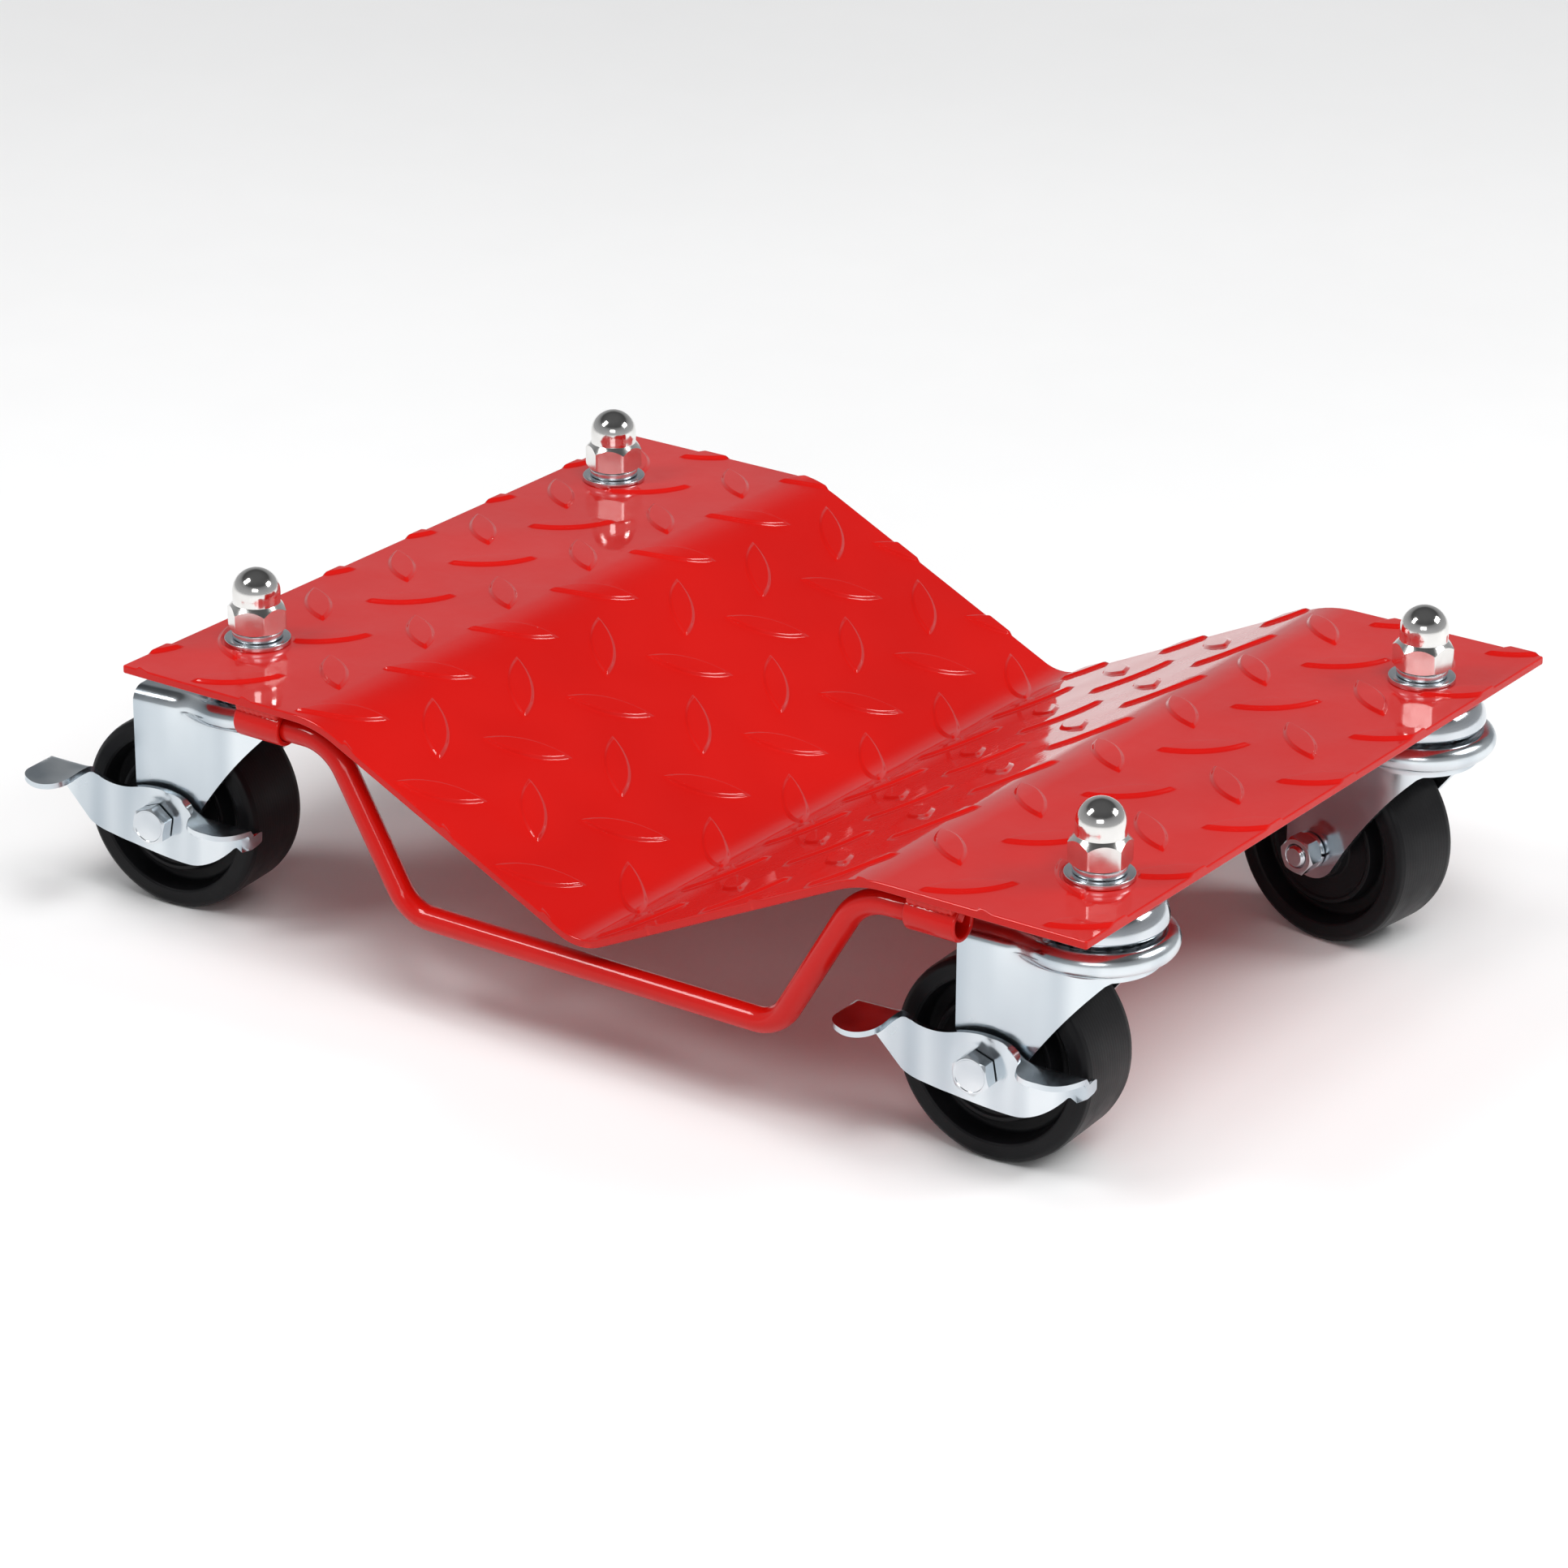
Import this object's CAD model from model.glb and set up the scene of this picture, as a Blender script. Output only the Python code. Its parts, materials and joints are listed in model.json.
"""Looks of the wheel dolly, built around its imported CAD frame. Shapes are worked out in millimetres."""
import json
import math

import bmesh
import bpy
from mathutils import Matrix, Vector, noise
from mathutils.geometry import delaunay_2d_cdt


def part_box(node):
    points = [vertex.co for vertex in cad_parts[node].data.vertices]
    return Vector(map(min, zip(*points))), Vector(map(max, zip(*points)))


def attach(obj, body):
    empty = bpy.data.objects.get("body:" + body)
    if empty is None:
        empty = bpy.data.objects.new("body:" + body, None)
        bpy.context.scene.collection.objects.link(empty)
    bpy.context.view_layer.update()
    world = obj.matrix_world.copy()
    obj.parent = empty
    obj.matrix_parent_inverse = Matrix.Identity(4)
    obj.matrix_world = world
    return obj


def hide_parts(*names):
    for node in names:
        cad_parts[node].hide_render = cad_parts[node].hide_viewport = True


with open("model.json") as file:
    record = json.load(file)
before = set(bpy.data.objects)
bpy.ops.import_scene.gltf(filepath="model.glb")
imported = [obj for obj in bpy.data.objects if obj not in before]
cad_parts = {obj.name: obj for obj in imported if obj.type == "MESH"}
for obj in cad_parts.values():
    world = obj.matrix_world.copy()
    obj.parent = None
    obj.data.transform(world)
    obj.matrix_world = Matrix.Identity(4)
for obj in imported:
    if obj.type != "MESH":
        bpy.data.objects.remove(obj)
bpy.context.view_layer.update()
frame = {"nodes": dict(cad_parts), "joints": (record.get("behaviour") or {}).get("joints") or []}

MM = 0.001
JOINTS = {j["name"]: j for j in frame["joints"]}
CORNERS = ["front_left", "front_right", "rear_left", "rear_right"]
BRAKED = ["front_left", "front_right"]


# ---------- places, read from the frame ----------

def box_mm(node):
    """Lowest and highest corner of a CAD node, in millimetres."""
    low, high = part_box(node)
    return Vector(low) / MM, Vector(high) / MM


def joint_mm(name):
    return Vector(JOINTS[name]["pos_m"]) / MM


def caster_place(corner):
    """Origin on the floor under the stem, +X along the fork away from the axle."""
    stem = joint_mm("swivel_" + corner)
    across = Vector(JOINTS["wheel_spin_" + corner]["axis"])
    turn = Matrix.Rotation(math.atan2(-across.x, across.y), 4, "Z")
    return Matrix.Translation((stem.x, stem.y, 0)) @ turn


DECK_LOW, DECK_HIGH = box_mm("deck")
DECK_X = (DECK_LOW.x + DECK_HIGH.x) / 2
DECK_Y = (DECK_LOW.y + DECK_HIGH.y) / 2
DECK_LENGTH = DECK_HIGH.x - DECK_LOW.x
DECK_WIDTH = DECK_HIGH.y - DECK_LOW.y
DECK_TOP = DECK_HIGH.z
AXLE = caster_place("rear_left").inverted() @ joint_mm("wheel_spin_rear_left")
WHEEL_R = AXLE.z


# ---------- materials ----------

def set_stops(ramp, stops):
    elements = ramp.color_ramp.elements
    for i, (position, colour) in enumerate(stops):
        element = elements[i] if i < 2 else elements.new(position)
        element.position = position
        element.color = (*colour, 1)


class Shader:
    """A principled material and short ways to add the nodes that feed it."""

    def __init__(self, name, **constants):
        self.material = bpy.data.materials.new(name)
        self.material.use_nodes = True
        self.tree = self.material.node_tree
        self.bsdf = self.tree.nodes["Principled BSDF"]
        for socket, value in constants.items():
            self.bsdf.inputs[socket.replace("_", " ")].default_value = value
        own = self.node("TexCoord").outputs
        self.coords, self.facing = own["Object"], own["Normal"]

    def node(self, kind):
        return self.tree.nodes.new("ShaderNode" + kind)

    def link(self, output, target):
        self.tree.links.new(output, target)

    def feed(self, socket, output):
        self.link(output, self.bsdf.inputs[socket])

    def noise(self, scale, detail, stretch=None):
        node = self.node("TexNoise")
        node.inputs["Scale"].default_value = scale
        node.inputs["Detail"].default_value = detail
        place = self.coords
        if stretch:
            mapping = self.node("Mapping")
            mapping.inputs["Scale"].default_value = stretch
            self.link(place, mapping.inputs["Vector"])
            place = mapping.outputs["Vector"]
        self.link(place, node.inputs["Vector"])
        return node.outputs["Fac"]

    def split(self, output):
        """X, Y and Z of an output."""
        node = self.node("SeparateXYZ")
        self.link(output, node.inputs[0])
        return node.outputs

    def radius(self):
        """Distance from the object's own Z axis, and place along it."""
        x, y, z = self.split(self.coords)
        squares = (self.math("MULTIPLY", v, v) for v in (x, y))
        return self.math("SQRT", self.math("ADD", *squares)), z

    def math(self, operation, *inputs):
        node = self.node("Math")
        node.operation = operation
        for target, value in zip(node.inputs, inputs):
            if isinstance(value, (int, float)):
                target.default_value = value
            else:
                self.link(value, target)
        return node.outputs[0]

    def spread(self, output, low, high, start=0.0, end=1.0):
        """Maps start..end of an output to low..high."""
        node = self.node("MapRange")
        for socket, value in zip(("From Min", "From Max", "To Min", "To Max"), (start, end, low, high)):
            node.inputs[socket].default_value = value
        self.link(output, node.inputs["Value"])
        return node.outputs["Result"]

    def ramp(self, output, *stops):
        """Colours at positions along an output."""
        node = self.node("ValToRGB")
        set_stops(node, stops)
        self.link(output, node.inputs["Fac"])
        return node.outputs["Color"]

    def mix(self, factor, output, colour):
        """Goes from an output's colour to a fixed one."""
        node = self.node("Mix")
        node.data_type = "RGBA"
        self.link(factor, node.inputs["Factor"])
        first, second = [socket for socket in node.inputs if socket.type == "RGBA"]
        self.link(output, first)
        second.default_value = (*colour, 1)
        return [socket for socket in node.outputs if socket.type == "RGBA"][0]

    def bump(self, height, strength, distance, below=None):
        node = self.node("Bump")
        node.inputs["Strength"].default_value = strength
        node.inputs["Distance"].default_value = distance
        self.link(height, node.inputs["Height"])
        if below:
            self.link(below, node.inputs["Normal"])
        return node.outputs["Normal"]


def red_paint():
    """Glossy powder coat, sprayed from above: duller round the sides, light on sharp edges."""
    s = Shader("red_powder_coat", Coat_IOR=1.5, Specular_IOR_Level=0.12)
    tone = s.ramp(s.noise(14, 2), (0.35, (0.485, 0.0035, 0.0017)), (0.68, (0.535, 0.0045, 0.0022)))
    edge = s.spread(s.node("NewGeometry").outputs["Pointiness"], 0.0, 0.5, 0.53, 0.62)
    s.feed("Base Color", s.mix(edge, tone, (0.68, 0.026, 0.016)))
    s.feed("Roughness", s.spread(s.noise(60, 2), 0.32, 0.46, 0.3, 0.7))
    s.feed("Coat Weight", s.spread(s.split(s.facing)[2], 0.30, 1.0, 0.15, 0.6))
    s.feed("Coat Roughness", s.spread(s.noise(35, 2), 0.035, 0.075, 0.35, 0.75))
    waves = s.bump(s.noise(26, 1), 0.10, 0.0006)
    peel = s.bump(s.noise(420, 1), 0.05, 0.0003, waves)
    s.feed("Normal", peel)
    s.feed("Coat Normal", peel)
    return s.material


def zinc(name, low, high, tint, grain, banding=0.10, drawn=0.3):
    """Zinc-plated steel: a slightly blue metal with soft upright bands and fine drawing marks."""
    s = Shader(name, Metallic=1.0)
    dull = tuple((1 - banding * weight) * c for c, weight in zip(tint, (2.2, 2.0, 1.8)))
    s.feed("Base Color", s.ramp(s.noise(62, 1, stretch=(1, 1, drawn)), (0.34, dull), (0.64, tint)))
    s.feed("Roughness", s.spread(s.noise(80, 2), low, high, 0.3, 0.72))
    cloud = s.bump(s.noise(45, 1), 0.14, 0.0008)
    s.feed("Normal", s.bump(s.noise(1500, 2, stretch=(1, 1, 0.12)), grain, 0.0002, cloud))
    return s.material


def bright_nickel():
    """Cap nuts: a mirror-bright dome on a hexagon with finer satin faces."""
    s = Shader("bright_nickel", Metallic=1.0)
    s.feed("Base Color", s.ramp(s.noise(140, 4), (0.3, (0.76, 0.75, 0.73)), (0.7, (0.88, 0.87, 0.85))))
    height = s.split(s.coords)[2]
    cloud = s.spread(s.noise(160, 4), 0.8, 1.25, 0.3, 0.7)
    s.feed("Roughness", s.math("MULTIPLY", cloud, s.spread(height, 0.20, 0.11, 0.0150, 0.0162)))
    s.feed("Normal", s.bump(s.noise(700, 2), 0.03, 0.0002))
    return s.material


def dark_steel():
    s = Shader("bearing_steel", Metallic=1.0)
    s.feed("Base Color", s.ramp(s.noise(120, 4), (0.3, (0.16, 0.15, 0.14)), (0.7, (0.34, 0.33, 0.32))))
    s.feed("Roughness", s.spread(s.noise(200, 4), 0.22, 0.45, 0.3, 0.7))
    s.feed("Normal", s.bump(s.noise(900, 2), 0.08, 0.0002))
    return s.material


def black_plastic():
    """Moulded wheel: satin black with faint rings from its mould and dust in the pores."""
    s = Shader("black_polypropylene", Specular_IOR_Level=0.16)
    speck = s.noise(900, 2)
    tone = s.ramp(s.noise(40, 4), (0.3, (0.005, 0.005, 0.006)), (0.75, (0.009, 0.009, 0.010)))
    s.feed("Base Color", s.mix(s.spread(speck, 0, 0.25, 0.68, 0.8), tone, (0.035, 0.035, 0.035)))
    s.feed("Roughness", s.spread(s.noise(70, 5), 0.34, 0.50, 0.3, 0.7))
    rings = None
    for distance, pitch in zip(s.radius(), (5200, 4100)):
        rings = s.bump(s.math("SINE", s.math("MULTIPLY", distance, pitch)), 0.07, 0.0001, rings)
    s.feed("Normal", s.bump(speck, 0.10, 0.0002, rings))
    return s.material


RED = red_paint()
CHROME = bright_nickel()
ZINC = zinc("zinc_plate", 0.16, 0.30, (0.75, 0.79, 0.82), 0.05)
PRESSED = zinc("pressed_zinc_plate", 0.15, 0.28, (0.745, 0.80, 0.835), 0.04, 0.18, 0.12)
POLISHED = zinc("polished_zinc_plate", 0.09, 0.17, (0.82, 0.85, 0.88), 0.03)
BEARING = dark_steel()
PLASTIC = black_plastic()


# ---------- mesh helpers ----------

def add_object(name, data):
    obj = bpy.data.objects.new(name, data)
    bpy.context.collection.objects.link(obj)
    return obj


def rotation(degrees, axis):
    return Matrix.Rotation(math.radians(degrees), 4, axis)


def piece(name, verts, faces, material, place, sharp=35.0, normals=None):
    """A mesh object from millimetre vertices, smooth but for edges sharper than `sharp` degrees.

    With a normal for each vertex, faces keep their direction and every edge is smooth.
    """
    mesh = bpy.data.meshes.new(name)
    mesh.from_pydata([Vector(v) * MM for v in verts], [], faces)
    bm = bmesh.new()
    bm.from_mesh(mesh)
    if normals is None:
        bmesh.ops.remove_doubles(bm, verts=bm.verts, dist=1e-6)
        bmesh.ops.recalc_face_normals(bm, faces=bm.faces)
    for face in bm.faces:
        face.smooth = True
    for edge in bm.edges:
        gentle = len(edge.link_faces) == 2 and edge.calc_face_angle() < math.radians(sharp)
        edge.smooth = gentle or normals is not None
    bm.to_mesh(mesh)
    bm.free()
    if normals is not None:
        mesh.normals_split_custom_set_from_vertices(normals)
    mesh.materials.append(material)
    obj = add_object(name, mesh)
    place = place.copy()
    place.translation *= MM
    obj.matrix_world = place
    return obj


def put(name, shape, material, place, body, node, sharp=35.0, normals=None):
    """Adds a piece that rides on a body, stands for a CAD node and takes its material's slot."""
    obj = piece(name, *shape, material, place, sharp, normals)
    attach(obj, body)
    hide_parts(node)
    return obj


def join_shapes(*shapes):
    verts, faces = [], []
    for v, f in shapes:
        faces += [[i + len(verts) for i in face] for face in f]
        verts += v
    return verts, faces


def moved(shape, matrix):
    return [matrix @ v for v in shape[0]], shape[1]


NEARLY_STRAIGHT = math.radians(178)
LONGEST_CUT = 0.48                 # share of a side that one corner's rounding may take


def fillet(points, radius, steps=4, closed=True):
    """A 2D outline with its corners rounded; radius is one number or one for each point."""
    count = len(points)
    radii = radius if isinstance(radius, (list, tuple)) else [radius] * count
    out = []
    for i, point in enumerate(points):
        here = Vector(point)
        before = Vector(points[i - 1]) - here
        after = Vector(points[(i + 1) % count]) - here
        angle = before.angle(after)
        open_end = not closed and i in (0, count - 1)
        if open_end or radii[i] == 0 or angle > NEARLY_STRAIGHT:
            out.append(here)
            continue
        longest = LONGEST_CUT * min(before.length, after.length)
        cut = min(radii[i] / math.tan(angle / 2), longest)
        before.normalize()
        after.normalize()
        centre = here + (before + after).normalized() * (cut / math.cos(angle / 2))
        start = here + before * cut - centre
        finish = here + after * cut - centre
        turn = -start.angle_signed(finish)
        out += [centre + Matrix.Rotation(turn * k / steps, 2) @ start for k in range(steps + 1)]
    return out


def arc(centre, radius, start, end, steps):
    """Points on a circle, angles in degrees from the first axis."""
    angles = [math.radians(start + (end - start) * i / steps) for i in range(steps + 1)]
    return [Vector((centre[0] + radius * math.cos(a), centre[1] + radius * math.sin(a))) for a in angles]


def bezier(a, b, c, steps):
    """Points on a quadratic curve from a to c that is pulled towards b."""
    a, b, c = Vector(a), Vector(b), Vector(c)
    shares = [i / steps for i in range(steps + 1)]
    return [a * (1 - t) ** 2 + b * 2 * t * (1 - t) + c * t * t for t in shares]


def skin(rings, loop=False):
    """A closed surface through rings of equally many points, with two caps or closed into a loop."""
    count = len(rings[0])
    verts = [v for ring in rings for v in ring]
    faces = []
    for i in range(len(rings) if loop else len(rings) - 1):
        here, there = i * count, (i + 1) % len(rings) * count
        for k in range(count):
            m = (k + 1) % count
            faces.append([here + k, here + m, there + m, there + k])
    if not loop:
        faces += [list(range(count)), list(range(len(verts) - count, len(verts)))]
    return verts, faces


def lathe(profile, steps):
    """Turns a closed outline of (radius, height) points about Z."""
    rings = []
    for i in range(steps):
        a = math.radians(360 * i / steps)
        rings.append([Vector((r * math.cos(a), r * math.sin(a), z)) for r, z in profile])
    return skin(rings, loop=True)


def rectangle(x1, x2, y1, y2):
    return [(x1, y1), (x2, y1), (x2, y2), (x1, y2)]


TUBE_SIDES = 28
TUBE_END_ROUND = 0.8
TUBE_END_RINGS = 3


def tube(path, radius):
    """A round bar along a path in the XZ plane, with rounded edges at its ends."""
    last = len(path) - 1
    stations = []
    for i, point in enumerate(path):
        ahead = (path[min(i + 1, last)] - path[max(i - 1, 0)]).normalized()
        stations.append((point, ahead, radius))
    shares = [k / TUBE_END_RINGS for k in range(1, TUBE_END_RINGS + 1)]
    ends = []
    for side, (point, ahead, _) in ((-1, stations[0]), (1, stations[-1])):
        beyond = ahead * side * TUBE_END_ROUND
        ends.append([(point + beyond * t, ahead, radius - TUBE_END_ROUND * t * t) for t in shares])
    rings = []
    for centre, ahead, r in ends[0][::-1] + stations + ends[1]:
        ring = []
        for k in range(TUBE_SIDES):
            a = 2 * math.pi * k / TUBE_SIDES
            flat = centre + Vector((-ahead.y, ahead.x)) * r * math.cos(a)
            ring.append(Vector((flat.x, r * math.sin(a), flat.y)))
        rings.append(ring)
    return skin(rings)


def inside(point, loop):
    """Whether a point lies within a closed outline."""
    x, y = point
    odd = False
    for (x1, y1), (x2, y2) in zip(loop, loop[1:] + loop[:1]):
        if (y1 > y) != (y2 > y) and x < (x2 - x1) * (y - y1) / (y2 - y1) + x1:
            odd = not odd
    return odd


def triangulate(loops, lines, points, keep):
    """Triangles over closed loops, open lines and loose points, where keep(centroid) holds."""
    verts, edges = [], []
    runs = [(loop, len(loop)) for loop in loops] + [(line, len(line) - 1) for line in lines]
    for run, segments in runs:
        base = len(verts)
        verts += [Vector(p) for p in run]
        edges += [(base + i, base + (i + 1) % len(run)) for i in range(segments)]
    verts += [Vector(p) for p in points]
    flat, _, faces, *_ = delaunay_2d_cdt(verts, edges, [], 0, 1e-5)
    kept = [f for f in faces if keep(sum((flat[i] for i in f), Vector((0, 0))) / len(f))]
    used = sorted({i for f in kept for i in f})
    index = {old: new for new, old in enumerate(used)}
    return [flat[i] for i in used], [[index[i] for i in f] for f in kept]


def rim(faces):
    """Edges that only one face has, in that face's direction."""
    seen = {(a, b): True for f in faces for a, b in zip(f, f[1:] + f[:1])}
    return [(a, b) for a, b in seen if (b, a) not in seen]


# ---------- deck ----------

SHEET = 3.0
OPENING = 114.5                    # half the distance between the outer bends
SLOPE = math.radians(25.6)
VALLEY_R = 18.0
SHOULDER_R = 45.0
STEM_HOLE_R = 6.5
PAD_PITCH = (47.6, 48.7)
PAD_FIRST = Vector((-53.9, -16.2))
PAD_HALF_LENGTH = 17.6
PAD_HALF_WIDTH = 5.3
PAD_HEIGHT = 1.05
PAD_WALL = 1.7
PAD_ARC_R = (PAD_HALF_LENGTH ** 2 + PAD_HALF_WIDTH ** 2) / (2 * PAD_HALF_WIDTH)
PAD_ARC_PARTS = 18
PAD_REACH = PAD_HALF_LENGTH * 0.72     # of a slanting pad
PAD_LINES = (0.0, 0.35, 0.7, 1.05, 1.4, PAD_WALL)
SEAT_R = 12.4                      # the tread starts gently past each washer
SEAT_SOFT = 1.2
EDGE_ROUND = 0.6
CORNER_ROUND = 0.9

VALLEY_Z = -OPENING * math.tan(SLOPE) + VALLEY_R / math.cos(SLOPE)
SHOULDER_X = OPENING + SHOULDER_R * math.tan(SLOPE / 2)
SLOPE_START = Vector((VALLEY_R * math.sin(SLOPE), VALLEY_Z - VALLEY_R * math.cos(SLOPE)))
SLOPE_END = Vector((SHOULDER_X - SHOULDER_R * math.sin(SLOPE), SHOULDER_R * (math.cos(SLOPE) - 1)))
VALLEY_ARC = VALLEY_R * SLOPE
SLOPE_ARC = VALLEY_ARC + (SLOPE_END - SLOPE_START).length
SHOULDER_ARC = SLOPE_ARC + SHOULDER_R * SLOPE
HALF_ARC = SHOULDER_ARC + DECK_LENGTH / 2 - SHOULDER_X


def deck_section(u):
    """Point and normal of the upper face in XZ, at a distance u along it from the valley."""
    side, a = (1 if u >= 0 else -1), abs(u)
    if a < VALLEY_ARC:
        tilt = a / VALLEY_R
        point = Vector((VALLEY_R * math.sin(tilt), VALLEY_Z - VALLEY_R * math.cos(tilt)))
    elif a < SLOPE_ARC:
        tilt = SLOPE
        point = SLOPE_START.lerp(SLOPE_END, (a - VALLEY_ARC) / (SLOPE_ARC - VALLEY_ARC))
    elif a < SHOULDER_ARC:
        tilt = SLOPE - (a - SLOPE_ARC) / SHOULDER_R
        point = Vector((SHOULDER_X - SHOULDER_R * math.sin(tilt), SHOULDER_R * (math.cos(tilt) - 1)))
    else:
        tilt = 0.0
        point = Vector((SHOULDER_X + a - SHOULDER_ARC, 0))
    return Vector((side * point.x, point.y)), Vector((-side * math.sin(tilt), math.cos(tilt)))


def pads():
    """Centre and direction of each raised pad, in flat sheet coordinates."""
    for i in range(-5, 7):
        for j in range(-4, 5):
            for half, lean in ((0.0, -1), (0.5, 1)):
                centre = PAD_FIRST + Vector(((i + half) * PAD_PITCH[0], (j + half) * PAD_PITCH[1]))
                if abs(centre.x) < HALF_ARC + PAD_REACH and abs(centre.y) < DECK_WIDTH / 2 + PAD_REACH:
                    yield centre, Vector((1, lean)).normalized()


def studs():
    """Centres of the four stem holes, in flat sheet coordinates."""
    for corner in CORNERS:
        stem = joint_mm("swivel_" + corner)
        side = 1 if stem.x > DECK_X else -1
        yield Vector((stem.x - DECK_X + side * (HALF_ARC - DECK_LENGTH / 2), stem.y - DECK_Y))


PADS = list(pads())
STUDS = list(studs())


def pad_ring(centre, along, depth):
    """The pad's outline, moved inwards by depth."""
    across = Vector((-along.y, along.x))
    r = PAD_ARC_R - depth
    drop = PAD_ARC_R - PAD_HALF_WIDTH
    half = math.acos(drop / r)
    points = []
    for side in (1, -1):
        for i in range(PAD_ARC_PARTS):
            a = half * (2 * i / PAD_ARC_PARTS - 1)
            offset = along * (r * math.sin(a)) + across * (r * math.cos(a) - drop)
            points.append(centre + offset * side)
    return points


def smooth_step(t):
    t = min(max(t, 0.0), 1.0)
    return t * t * (3 - 2 * t)


def pad_height(p):
    """Height of the tread above the sheet."""
    height = 0.0
    for centre, along in PADS:
        d = p - centre
        if abs(d.x) > PAD_HALF_LENGTH or abs(d.y) > PAD_HALF_LENGTH:
            continue
        a, b = d.dot(along), abs(d.dot(Vector((-along.y, along.x))))
        depth = PAD_ARC_R - math.hypot(a, b + PAD_ARC_R - PAD_HALF_WIDTH)
        height = max(height, PAD_HEIGHT * smooth_step(depth / PAD_WALL))
    for stud in STUDS:
        height *= smooth_step(((p - stud).length - SEAT_R) / SEAT_SOFT)
    return height


def deck_rectangle(inset):
    """The sheet's flat outline, moved inwards."""
    x, y = HALF_ARC - inset, DECK_WIDTH / 2 - inset
    return fillet(rectangle(-x, x, -y, y), CORNER_ROUND - inset * 0.9, steps=5)


def deck_edge(p):
    """Distance in from the sheet's edge, and the direction out of it."""
    x, y = HALF_ARC - abs(p.x), DECK_WIDTH / 2 - abs(p.y)
    out_x, out_y = math.copysign(1, p.x), math.copysign(1, p.y)
    if x < CORNER_ROUND and y < CORNER_ROUND:
        reach = Vector((CORNER_ROUND - x, CORNER_ROUND - y))
        return CORNER_ROUND - reach.length, Vector((reach.x * out_x, reach.y * out_y)).normalized()
    return (x, Vector((out_x, 0))) if x < y else (y, Vector((0, out_y)))


def edge_turn(distance):
    """How far an edge's rounding has fallen at this distance in, and its tilt's sine."""
    sine = 1 - min(max(distance, 0.0), EDGE_ROUND) / EDGE_ROUND
    return EDGE_ROUND * (1 - math.sqrt(1 - sine * sine)), sine


def deck_vertex(p, side):
    """Place and normal of a point on the upper (side 1) or lower (side -1) face."""
    section, up = deck_section(p.x)
    distance, out = deck_edge(p)
    fall, sine = edge_turn(distance)
    level = pad_height(p) - fall if side > 0 else fall - SHEET
    here = Vector((section.x + up.x * level, p.y, section.y + up.y * level))
    normal = Vector((up.x, 0, up.y))
    along = Vector((up.y, 0, -up.x))
    if side > 0 and sine == 0.0:
        e = 0.02
        slope_u, slope_y = ((pad_height(p + step) - pad_height(p - step)) / (2 * e)
                            for step in (Vector((e, 0)), Vector((0, e))))
        return here, (normal - along * slope_u - Vector((0, slope_y, 0))).normalized()
    outward = along * out.x + Vector((0, out.y, 0))
    return here, (normal * side * math.sqrt(1 - sine * sine) + outward * sine).normalized()


def deck_lines():
    """Lines along the bends, so that the mesh is fine across them."""
    valley = [VALLEY_ARC * k / 6 for k in range(7)]
    shoulder = [SLOPE_ARC + SHOULDER_R * SLOPE * k / 7 for k in range(8)]
    ys = [DECK_WIDTH * (k / 60 - 0.5) for k in range(61)]
    right = [[(u, y) for y in ys] for u in valley + shoulder]
    return [[(-x, y) for x, y in line] for line in right[1:]] + right


def build_deck():
    loops = [deck_rectangle(inset) for inset in (0.0, 0.06, 0.25, EDGE_ROUND)]
    holes = [arc(stud, STEM_HOLE_R, 0, 350, 35) for stud in STUDS]
    seats = [arc(stud, SEAT_R + k * SEAT_SOFT / 2, 0, 350, 35) for stud in STUDS for k in range(3)]
    rings = [pad_ring(c, a, d) for c, a in PADS for d in PAD_LINES]

    def keep(centre):
        over_hole = any((centre - stud).length < STEM_HOLE_R * 0.998 for stud in STUDS)
        return not over_hole and inside(centre, loops[0])

    flat, faces = triangulate(loops + holes + seats + rings, deck_lines(), [], keep)
    verts, normals = zip(*(deck_vertex(p, side) for side in (1, -1) for p in flat))
    count = len(flat)
    walls = [[b, a, a + count, b + count] for a, b in rim(faces)]
    under = [[i + count for i in reversed(f)] for f in faces]
    place = Matrix.Translation((DECK_X, DECK_Y, DECK_TOP))
    put("deck_sheet", (verts, faces + under + walls), RED, place, "frame", "deck", normals=normals)


# ---------- sockets and bail handles ----------

SOCKET_LOW, SOCKET_HIGH = box_mm("bail_sockets")
SOCKET_R = (SOCKET_HIGH.z - SOCKET_LOW.z) / 2
SOCKET_LENGTH = 20.0
SOCKET_X = SOCKET_HIGH.x - DECK_X - SOCKET_LENGTH / 2
WELD_FOOT = 6.6
WELD_FLUSH = 5.9                   # how far the weld may come out towards the sheet's edge
ROD_R = 4.5
ROD_BORE_R = 4.6
BAIL_DROP = 56.5
BAIL_TOP_X = 112.0
BAIL_BOTTOM_X = 78.5
BAIL_END_X = SOCKET_X + 4.0
BAIL_TOP_BEND = 20.0
BAIL_LOW_BEND = 16.0


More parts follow.
